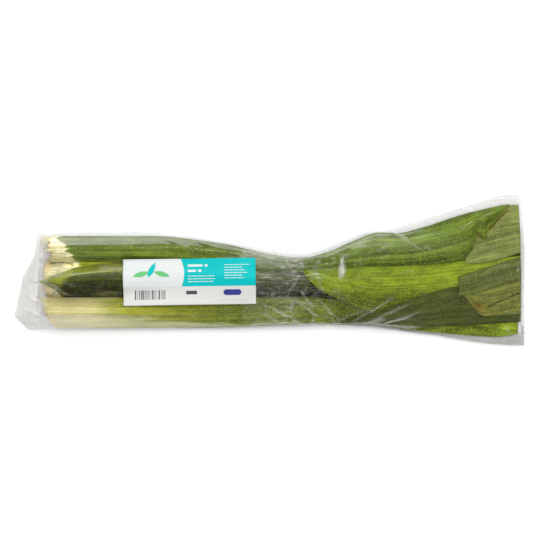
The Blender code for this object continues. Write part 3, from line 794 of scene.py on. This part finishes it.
# The bag seen from above: (x, low y, high y), then the edges of its mouth and its seal as (y, x).
SILHOUETTE = [
    (-190.5, -48.5, 29), (-180, -49, 30.2), (-151, -49.6, 31.5), (-111, -49.4, 31.2), (-82, -49, 29.5),
    (-52, -48.6, 25.5), (-22, -47.6, 19), (7, -47, 15.5), (27, -46.6, 12), (47, -46.4, 16.2),
    (67, -46.6, 24.4), (87, -47.6, 31.4), (106, -49.8, 35.4), (126, -52, 41), (146, -55.7, 47.4),
    (166, -59, 53.2), (186, -61.5, 59.8), (201, -62.3, 62.3), (209.1, -62.3, 61),
]
MOUTH_EDGE = [(-49, -200), (-38, -210.4), (-5, -203), (12, -193.4), (29, -191.2)]
SEAL_EDGE = [(-62, 210.5), (-24, 210.3), (17, 211.5), (55, 208), (63, 206.5)]
MOUTH_X = -190.5
CLOSE_X = 206.2
SEAL_Z = 5.5
DIRECTIONS = 120  # sides of the convex section round the leaves
ACROSS_TOP = 150  # points across the upper sheet
ACROSS_BOTTOM = 60


def triangle_wave(t):
    return np.abs((t % 1.0) * 2 - 1)


def crumple(x, q, seed, waves, size):
    """Sharp creases between flat facets, from triangle waves in several directions."""
    rng = np.random.default_rng(seed)
    height = 0 * x
    warp = value_noise(x / 37, q / 29, seed + 1) * 9
    drift = value_noise(x / 23, q / 31, seed + 2) * 9
    for k in range(waves):
        angle = rng.uniform(0, np.pi)
        length = size * rng.uniform(0.7, 1.9)
        t = ((x + warp) * np.cos(angle) + (q + drift) * np.sin(angle)) / length + rng.uniform()
        mask = smoothstep(0.5 + 1.6 * value_noise(x / 33 + 7 * k, q / 27, seed + 10 + k))
        height = height + mask * triangle_wave(t) * length / size
    return height / waves


def crease(x, q, a, b, height, width):
    """One sharp fold along the line from a to b, tapering to both ends."""
    a, b = np.array(a, float), np.array(b, float)
    length = np.hypot(*(b - a))
    d = (b - a) / length
    t = ((x - a[0]) * d[0] + (q - a[1]) * d[1]) / length
    off = -(x - a[0]) * d[1] + (q - a[1]) * d[0]
    taper = np.sqrt(np.clip(1 - (2 * t - 1) ** 2, 0, 1))
    return height * taper * np.clip(1 - np.abs(off) / (width * np.maximum(taper, 0.2)), 0, 1)


CREASES = [  # from, to, height and half width, in mm on the top of the bag
    ((27, 9), (26, -6), 1.6, 1.6), ((26, -5), (14, -21), 1.4, 1.8), ((58, 13), (62, -11), 2.2, 3.4),
    ((35, 5), (46, -22), 1.0, 2.2), ((10, 12), (22, -4), 1.2, 2.0), ((-6, 8), (14, 1), 1.0, 2.0),
    ((20, -24), (44, -40), 1.3, 2.0), ((36, -20), (60, -43), 1.1, 2.2), ((66, -44), (104, -22), 1.6, 2.2),
    ((78, -44), (118, -27), 1.3, 2.0), ((90, -45), (128, -33), 1.0, 1.8), ((2, -30), (28, -44), 1.1, 2.2),
    ((-12, -25), (14, -36), 0.9, 2.0), ((50, -44), (86, -30), 1.0, 2.0), ((92, 36), (132, 12), 1.2, 2.6),
    ((126, 19), (134, 16), 1.1, 1.1), ((66, 16), (98, 22), 0.9, 1.8), ((-18, 14), (10, 6), 1.0, 1.6),
    ((-92, 28), (-60, 15), 0.8, 2.0), ((-70, 27), (-40, 17), 0.8, 2.2), ((14, 10), (30, 2), 1.0, 1.6),
    ((-196, -6), (-176, -18), 1.2, 3.0), ((-200, -20), (-178, -30), 1.4, 3.0),
    ((-204, -30), (-176, -41), 1.2, 2.6), ((-194, 10), (-178, 22), 1.0, 2.2),
    ((-198, -44), (-180, -36), 1.2, 2.4), ((-189, 4), (-172, 2), 1.0, 2.0),
]


def free_film(x, y):
    """1 where no leaf lies under the film."""
    return 1 - read_grid(blur(COVERED.astype(float), 1, 1), x, y)


def hull_rings(x_stations):
    """Convex sections of the film round the leaves, each as (upper points, lower points) in YZ."""
    angles = (np.arange(DIRECTIONS) + 0.5) * 2 * np.pi / DIRECTIONS
    directions = np.stack([np.cos(angles), np.sin(angles)], axis=1)
    reach = []
    for x in x_stations:
        near = np.abs(X_GRID - x) <= 7
        top = np.where(COVERED, TOP, -1)[near].max(axis=0)
        at = top > 0
        ys, tops = Y_GRID[at], top[at]
        low, high = smooth_curve(SILHOUETTE, x)[0]
        middle = tops.max() * 0.34
        points = np.concatenate([
            np.stack([ys, tops], axis=1), np.stack([ys, 0 * ys + FILM_WALL + FILM_CLEARANCE], axis=1)])
        held = (directions @ points.T).max(axis=1) + 1.0
        guides = np.array([[low, middle], [high, middle]])
        reach.append(np.maximum(held, (directions @ guides.T).max(axis=1)))
    reach = np.array(reach)
    padded = np.pad(reach, ((6, 6), (0, 0)), mode="edge")
    reach = blur(padded, 2, 0)[6:-6]
    rings = []
    for row in reach:
        ahead = np.roll(row, -1)
        after = np.roll(directions, -1, axis=0)
        turn = directions[:, 0] * after[:, 1] - directions[:, 1] * after[:, 0]
        y = (row * after[:, 1] - ahead * directions[:, 1]) / turn
        z = (ahead * directions[:, 0] - row * after[:, 0]) / turn
        rings.append(np.stack([y, np.maximum(z, 0.05)], axis=1))
    return rings


def resample(points, count):
    steps = np.hypot(*np.diff(points, axis=0).T)
    run = np.concatenate([[0], np.cumsum(steps)])
    at = np.linspace(0, run[-1], count)
    return np.stack([np.interp(at, run, points[:, k]) for k in (0, 1)], axis=1)


def split_ring(ring):
    """The ring's upper and lower side, each from its +Y edge to its -Y edge."""
    high, low = ring[:, 0].argmax(), ring[:, 0].argmin()
    rolled = np.roll(ring, -high, axis=0)
    cut = (low - high) % len(ring)
    upper = rolled[: cut + 1]
    lower = np.concatenate([rolled[cut:], rolled[:1]])[::-1]
    return resample(upper, ACROSS_TOP), resample(lower, ACROSS_BOTTOM)


def film_sheets():
    """The upper and lower sheet of the bag as grids of points, from the mouth to the seal."""
    body = np.concatenate([np.arange(MOUTH_X, 100, 1.6), np.arange(100, CLOSE_X + 0.1, 1.4)])
    pairs = [split_ring(ring) for ring in hull_rings(body)]
    edge_y, edge_x = np.array(MOUTH_EDGE).T
    end_y, end_x = np.array(SEAL_EDGE).T
    made = []
    for side, bulge in ((0, 0.9), (1, -0.9)):
        sections = zip(body, [pair[side] for pair in pairs], strict=True)
        sheet = np.array([np.column_stack([np.full(len(section), x), section]) for x, section in sections])
        if side == 0:
            sheet[..., 2] -= sag(*np.moveaxis(sheet, -1, 0))
        mouth = []
        for share in np.linspace(0, 1, 16)[:-1]:
            flat = sheet[0].copy()
            belly = np.sqrt(np.clip(1 - ((flat[:, 1] + 10) / 40) ** 2, 0, 1))
            flat[:, 2] = 1.6 + bulge * belly * (1 + 0.8 * value_noise(flat[:, 1] / 6, 1.0, 41))
            row = flat * (1 - share) + sheet[0] * share
            row[:, 0] = np.interp(row[:, 1], edge_y, edge_x) * (1 - share) + MOUTH_X * share
            mouth.append(row)
        closing = []
        for share in np.linspace(0, 1, 9)[1:]:
            row = sheet[-1].copy()
            tall = np.sqrt(np.clip(1 - share**2, 0, 1))
            row[:, 2] = SEAL_Z + (row[:, 2] - SEAL_Z) * (0.03 + 0.97 * tall)
            row[:, 0] = CLOSE_X * (1 - share) + np.interp(row[:, 1], end_y, end_x) * share
            closing.append(row)
        made.append(np.concatenate([mouth, sheet, closing]))
    return made


def sag(x, y, z):
    """How far the top film hangs into the valleys between the leaves."""
    bed = read_grid(blur(blur(TOP, 2, 1), 2, 0), x, y) + 0.9
    gap = np.clip(z - bed, 0, None) * (1 - free_film(x, y))
    return gap * np.clip(0.45 + 0.35 * value_noise(x / 26, y / 14, 31), 0, 0.85)


def film_zones(x, y):
    """How much a point is of the mouth, of the fan past the neck, and free of leaves beneath."""
    return smoothstep((-178 - x) / 16), smoothstep((x - 60) / 60), free_film(x, y)


def under_label(x, y):
    return smoothstep((55 - np.abs(x + 65)) / 9) * smoothstep((24 - np.abs(y + 9)) / 4)


def wrinkle(sheet, is_upper):
    """Moves the film outwards in creases: many at the neck and the mouth, few over the fan."""
    x, y, z = np.moveaxis(sheet, -1, 0)
    steps = np.hypot(np.diff(y, axis=1), np.diff(z, axis=1))
    q = np.concatenate([np.zeros((len(y), 1)), np.cumsum(steps, axis=1)], axis=1)
    edge = np.minimum(q, q[:, -1:] - q)
    width = np.ptp(y, axis=1)[:, None]
    q = y[:, :1] - q * width / q[:, -1:]
    mouth, fan, free = film_zones(x, y)
    neck = bump_at(x, 22, 34)
    height = (0.2 + 0.8 * neck + 0.3 * mouth) * crumple(x, q, 50, 7, 17.0)
    height = height + (0.12 + 0.45 * neck) * (1 - mouth) * crumple(x, q, 80, 6, 8.5)
    ray = (y - y.mean(axis=1, keepdims=True)) / np.maximum(width, 1)
    pull = bump_at(x, 45, 60) * 0.9 + 0.12
    rays = triangle_wave(ray * 9 + 1.5 * value_noise(x / 60, ray * 4, 61))
    height = height + pull * rays * (0.5 + 0.5 * value_noise(x / 30, ray * 9, 62))
    height = height + free * fan * 0.5 * triangle_wave(ray * 31 + value_noise(x / 20, ray * 9, 63))
    if is_upper:
        for a, b, tall, half in CREASES:
            height = height + crease(x, y, a, b, 0.8 * tall, half)
        height = height * (1 - 0.9 * under_label(x, y))
    height = height * smoothstep(edge / 2.5)
    normal = np.cross(np.gradient(sheet, axis=1), np.gradient(sheet, axis=0))
    normal /= np.maximum(np.linalg.norm(normal, axis=-1, keepdims=True), 1e-9)
    if not is_upper:
        normal = -normal
        height = height * 0.5 * smoothstep((z - 0.4) / 3)
    moved = sheet + normal * height[..., None]
    moved[..., 2] = np.maximum(moved[..., 2], 0.03)
    return moved, q


def film_look(x, y, is_upper):
    """Where the film is milky, finely creased or dulled, with painted highlights and painted shade."""
    mouth, fan, free = film_zones(x, y)
    haze = 0.56 * mouth + 0.24 * free * smoothstep((x - 95) / 40) + 0.02 * free
    crinkle = 0.06 + 0.62 * bump_at(x, 20, 33) + 0.06 * free
    crinkle = crinkle + 0.10 * smoothstep((-60 - x) / 60) * (1 - mouth)
    # Painted shade: the free film along the low edge of the fan, a doubled fold in shadow, passes less light;
    # a little less over the rest of the fan and at the mouth.
    dull = 0.9 * free * smoothstep((-44 - y) / 5) * fan + 0.08 * free * fan + 0.12 * mouth
    if is_upper:
        # Painted highlight: a pale sheen over the top leaf, drawn as haze.
        haze = haze + 0.06 * np.exp(-(((x - 100) / 42) ** 2) - ((y - 24) / 8) ** 2)
        haze = haze + 0.07 * bump_at(x, 5, 28) * smoothstep((y + 2) / 5)
        # Painted highlights: pale lines along the creases.
        for a, b, tall, _ in CREASES:
            haze = haze + crease(x, y, a, b, 0.13 * tall, 1.1)
        # Painted highlight: a bright diamond on the bag's top, drawn as haze.
        diamond_highlight = np.abs(x - 59.5 - 0.12 * (y - 2)) / 3.4 + np.abs(y - 1) / 12
        haze = haze + 0.42 * np.sqrt(np.clip(1 - diamond_highlight, 0, 1))
        at_neck = smoothstep((x + 23) / 2) * (1 - smoothstep((x - 16) / 14))
        haze = haze + 0.03 * at_neck * (1 + 2.6 * smoothstep((y - 3) / 5))
        crinkle = crinkle * (1 - under_label(x, y))
    return {"haze": haze, "crinkle": crinkle, "dull": dull}


def make_film():
    upper, lower = film_sheets()
    points, faces, looks = [], [], []
    start = 0
    for sheet, is_upper in ((upper, True), (lower, False)):
        x, y = sheet[..., 0], sheet[..., 1]
        moved, q = wrinkle(sheet, is_upper)
        place = np.stack([x * MM, q * MM + (0 if is_upper else 0.5), 0 * x], axis=-1)
        look = {key: value.ravel() for key, value in film_look(x, y, is_upper).items()}
        looks.append({"place": place.reshape(-1, 3), **look})
        points.append(moved.reshape(-1, 3))
        faces.append(grid_faces(*x.shape, start, not is_upper))
        start += x.size
    # The two sheets share their side edges.
    rows, top, bottom = len(upper), ACROSS_TOP, ACROSS_BOTTOM
    points = np.concatenate(points)
    welded = np.arange(len(points))
    for i in range(rows):
        for a, b in ((0, 0), (top - 1, bottom - 1)):
            upper_at, lower_at = i * top + a, rows * top + i * bottom + b
            points[upper_at] = (points[upper_at] + points[lower_at]) / 2
            welded[lower_at] = upper_at
    faces = [tuple(welded[f]) for f in np.concatenate(faces)]
    attributes = {key: np.concatenate([look[key] for look in looks]) for key in looks[0]}
    made = new_mesh_object("v_film_bag", points, faces, [film_material()], attributes=attributes)
    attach(made, "root")
    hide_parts("film_bag")
    return made


# ---------------------------------------------------------------- label

LABEL_SIZE = (110.0, 40.0)
LABEL_SHOWN = (108.2, 37.8)  # the paper, a little smaller than the CAD's label
LABEL_CENTRE = (-64.9, -9.9)
LABEL_TURN = np.radians(0.8)
PAPER = 0.16
INKS = {
    "white": (0.575, 0.605, 0.595), "teal": (0.001, 0.40, 0.405), "grey": (0.545, 0.55, 0.53),
    "ink": (0.06, 0.06, 0.07), "navy": (0.03, 0.035, 0.20), "fine_print": (0.40, 0.41, 0.42),
    "green": (0.12, 0.42, 0.16),
}
# A printed sprig: the centre of each leaf, its tilt and its ink.
SPRIG = [(15, 27, 0.25, "green"), (23.5, 30.5, 1.15, "teal"), (32, 27, 2.85, "green")]


def label_print():
    """The printed areas as (low x, low y, high x, high y, ink), in mm from the label's lower left corner."""
    rng = np.random.default_rng(5)
    areas = [(0, 0, 110, 16, "grey")]
    x = 9.5
    while x < 34.5:  # a barcode of made-up bars
        width = rng.choice([0.35, 0.7, 1.05])
        areas.append((x, 5, x + width, 13, "ink"))
        x += width + rng.choice([0.4, 0.75, 1.1])
    areas.append((52, 9, 61, 12.2, "ink"))
    areas += text_lines(rng, 53.5, 28, 70, 2, 3.1, 4.6, "white")
    areas += text_lines(rng, 53.5, 19.6, 76, 3, 1.0, 2.4, "white")
    areas += text_lines(rng, 84, 22.5, 105, 6, 0.9, 2.3, "white")
    areas += text_lines(rng, 79, 2.3, 103, 2, 0.7, 1.6, "fine_print")
    return areas


def text_lines(rng, x, y, end, rows, tall, pitch, ink):
    """Plain bars in place of words."""
    areas = []
    for row in range(rows):
        at, low = x, y + (rows - 1 - row) * pitch
        stop = end - rng.uniform(0, 0.35) * (end - x) * (row > 0)
        while at < stop:
            word_end = min(at + tall * rng.uniform(2.0, 5.5), stop)
            areas.append((at, low + tall * 0.15, word_end, low + tall * 0.75, ink))
            at = word_end + tall * 0.6
    return areas


def label_ink(areas, x, y):
    """The ink at a point of the label: its panels, its printed areas, a rounded bar and a sprig."""
    panel_edge = 50.5 - 0.018 * (y - 27) ** 2
    ink = "teal" if y > 16 and x > panel_edge else "white"
    for low_x, low_y, high_x, high_y, area_ink in areas:
        if low_x <= x <= high_x and low_y <= y <= high_y:
            ink = area_ink
    if max(abs(x - 90.5) - 4.6, 0) ** 2 + (y - 10.4) ** 2 < 2.7**2:
        ink = "navy"
    for centre_x, centre_y, tilt, leaf_ink in SPRIG:
        a, b = x - centre_x, y - centre_y
        a, b = a * math.cos(tilt) + b * math.sin(tilt), b * math.cos(tilt) - a * math.sin(tilt)
        if abs(a) < 7 and abs(b) < 2.3 * (1 - (a / 7) ** 2):
            ink = leaf_ink
    return ink


def grid_lines(size, step, edges):
    """Even lines across the label, and one at every printed edge."""
    lines = np.concatenate([np.linspace(0, size, int(size / step) + 1), edges])
    lines = np.unique(np.round(lines, 3))
    lines = lines[(lines >= 0) & (lines <= size)]
    return lines[np.concatenate([[True], np.diff(lines) > 0.06])]


def make_label(film):
    areas = label_print()
    curve = list(np.arange(46, 52, 0.35))
    xs = grid_lines(LABEL_SIZE[0], 1.0, [x for area in areas for x in (area[0], area[2])] + curve)
    ys = grid_lines(LABEL_SIZE[1], 0.8, [y for area in areas for y in (area[1], area[3])])
    tree = BVHTree.FromObject(film, bpy.context.evaluated_depsgraph_get())
    cos, sin = np.cos(LABEL_TURN), np.sin(LABEL_TURN)

    def on_film(across, up):
        """The film's points under a grid of the label's own lines."""
        flat = (np.stack(np.meshgrid(across, up, indexing="ij"), axis=-1) / LABEL_SIZE - 0.5) * LABEL_SHOWN
        plan = LABEL_CENTRE + flat @ np.array([[cos, sin], [-sin, cos]])
        heights = [
            [tree.ray_cast(Vector((*point * MM, 0.1)), Vector((0, 0, -1)))[0].z / MM for point in row]
            for row in plan]
        return np.dstack([plan, heights])

    # The paper bridges small creases in the film, and lies on it everywhere else.
    coarse_x, coarse_y = np.linspace(0, LABEL_SIZE[0], 34), np.linspace(0, LABEL_SIZE[1], 16)
    bed = np.pad(on_film(coarse_x, coarse_y)[..., 2], 4, mode="edge")
    bed = blur(blur(bed, 1, 0), 1, 1)[4:-4, 4:-4] + 0.05
    grid = on_film(xs, ys)
    bridge = read_grid(bed, xs[:, None], ys[None, :], coarse_x, coarse_y)
    grid[..., 2] = np.maximum(bridge, grid[..., 2] + 0.08)

    points = np.concatenate([(grid + [0, 0, PAPER]).reshape(-1, 3), grid.reshape(-1, 3)])
    faces = slab_faces(len(xs), len(ys))
    order = {name: k for k, name in enumerate(INKS)}
    inks = [
        order[label_ink(areas, (x0 + x1) / 2, (y0 + y1) / 2)]
        for x0, x1 in zip(xs[:-1], xs[1:], strict=True) for y0, y1 in zip(ys[:-1], ys[1:], strict=True)]
    inks += [order["white"]] * (len(faces) - len(inks))
    papers = [print_material("label_" + name, colour) for name, colour in INKS.items()]
    made = new_mesh_object("v_label", points, faces, papers, inks)
    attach(made, "root")
    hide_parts("label")


def make_cut_stem():
    """The small round stem beside the top leaf's base, cut across."""
    sides = 18
    angle = np.arange(sides) * 2 * np.pi / sides
    outline = [(-188.6, 1.0), (-188.3, 2.2), (-188.9, 3.1), (-187.6, 3.5), (-185, 3.4), (-181, 3.2),
               (-178, 2.6), (-176.5, 1.2)]
    rings = []
    for k, (x, radius) in enumerate(outline):
        r = radius * (1 + 0.08 * value_noise(angle * 2, k / 2, 33))
        ring = [x + 0.3 * np.sin(angle), STEM_Y + r * np.cos(angle), STEM_Z + 0.8 * r * np.sin(angle)]
        rings.append(np.stack(ring, axis=1))
    points = np.concatenate(rings)
    faces = []
    for start in range(0, len(points) - sides, sides):
        for j in range(sides):
            k = (j + 1) % sides
            faces.append((start + j, start + k, start + sides + k, start + sides + j))
    faces += [tuple(range(sides))[::-1], tuple(range(len(points) - sides, len(points)))]
    cut = (points[:, 0] < -188.0).astype(float)
    ones = np.ones(len(points))
    place = np.stack([points[:, 0] * MM, points[:, 1] * MM, 0 * ones], axis=1)
    shade = 1 - 0.45 * (np.hypot(points[:, 1] - STEM_Y, points[:, 2] - STEM_Z) < 1.6) * cut
    attributes = {"place": place, "young": ones, "pale": 0 * ones, "cream": ones, "stain": 0.3 * ones,
                  "cut": cut, "fibre": 0.3 * ones, "shade": np.stack([shade] * 3, axis=1)}
    stalk = bpy.data.materials["leaf_top_front"]
    made = new_mesh_object("v_cut_stem", points, faces, [stalk], attributes=attributes)
    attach(made, "root")
    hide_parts("leaf_top_back")


# ---------------------------------------------------------------- floor, light and camera


def make_stage():
    white = Shader("floor_white").paint((0.90, 0.90, 0.90), 0.8, 0.1)
    half = 760.0
    corners = [(x, y, -0.1) for x, y in ((-half, -half), (half, -half), (half, half), (-half, half))]
    new_mesh_object("floor", corners, [(0, 1, 2, 3)], [white])


# Area lights: place and size in metres, and watts. Only the lamps show in reflections, as fine
# highlights on the film.
LIGHTS = {
    "above": ((0.2, 0.3, 2.4), (2.0, 2.0), 57), "key": ((-0.1, 1.25, 1.0), (1.9, 0.8), 16),
    "fill": ((0.2, -1.2, 0.9), (1.8, 0.7), 6), "lamp_back": ((0.1, 0.85, 1.15), (0.30, 0.14), 0.8),
    "lamp_front": ((-0.2, -0.75, 1.2), (0.22, 0.12), 0.5), "lamp_left": ((-1.1, 0.2, 1.0), (0.10, 0.35), 0.8),
    "lamp_right": ((1.0, 0.3, 0.9), (0.10, 0.35), 0.8),
}


def make_light():
    for name, (place, size, watts) in LIGHTS.items():
        light = bpy.data.lights.new(name, "AREA")
        light.shape, light.size, light.size_y, light.energy = "RECTANGLE", *size, watts
        made = bpy.data.objects.new(name, light)
        made.location = place
        made.rotation_euler = (-Vector(place)).to_track_quat("-Z", "Y").to_euler()
        made.visible_glossy = name.startswith("lamp")
        bpy.context.scene.collection.objects.link(made)


def make_world():
    """White round the horizon and below it, dim overhead, so that flat film stays clear from above."""
    world = bpy.data.worlds.new("studio")
    world.use_nodes = True
    tree = world.node_tree
    background = tree.nodes["Background"]
    background.inputs[0].default_value = (1.0, 1.0, 1.0, 1)
    direction = tree.nodes.new("ShaderNodeTexCoord").outputs["Generated"]
    split = tree.nodes.new("ShaderNodeSeparateXYZ")
    fade = tree.nodes.new("ShaderNodeMapRange")
    fade.interpolation_type = "SMOOTHSTEP"
    for key, value in {"From Min": 0.08, "From Max": 0.30, "To Min": 1.0, "To Max": 0.10}.items():
        fade.inputs[key].default_value = value
    tree.links.new(direction, split.inputs[0])
    tree.links.new(split.outputs["Z"], fade.inputs["Value"])
    tree.links.new(fade.outputs[0], background.inputs[1])
    bpy.context.scene.world = world


def make_camera():
    """Straight above the bag, with the bag across most of the picture."""
    low, high = cad_box
    middle = (Vector(low) + Vector(high)) / 2
    camera = bpy.data.cameras.new("camera")
    camera.lens_unit = "MILLIMETERS"
    camera.sensor_width = 36.0
    distance, height_in_focus, picture_share = 1.6, 0.008, 1.06
    camera.lens = camera.sensor_width * (distance - height_in_focus) / (picture_share * (high[0] - low[0]))
    camera.dof.use_dof = False
    made = bpy.data.objects.new("camera", camera)
    made.location = (middle.x + 0.0008, middle.y - 0.0003, distance)
    bpy.context.scene.collection.objects.link(made)
    bpy.context.scene.camera = made


def main():
    for leaf in LEAVES:
        make_leaf(leaf)
    make_cut_stem()
    film = make_film()
    make_label(film)
    make_stage()
    make_world()
    make_light()
    make_camera()
    bpy.context.scene.view_settings.view_transform = "Standard"


main()
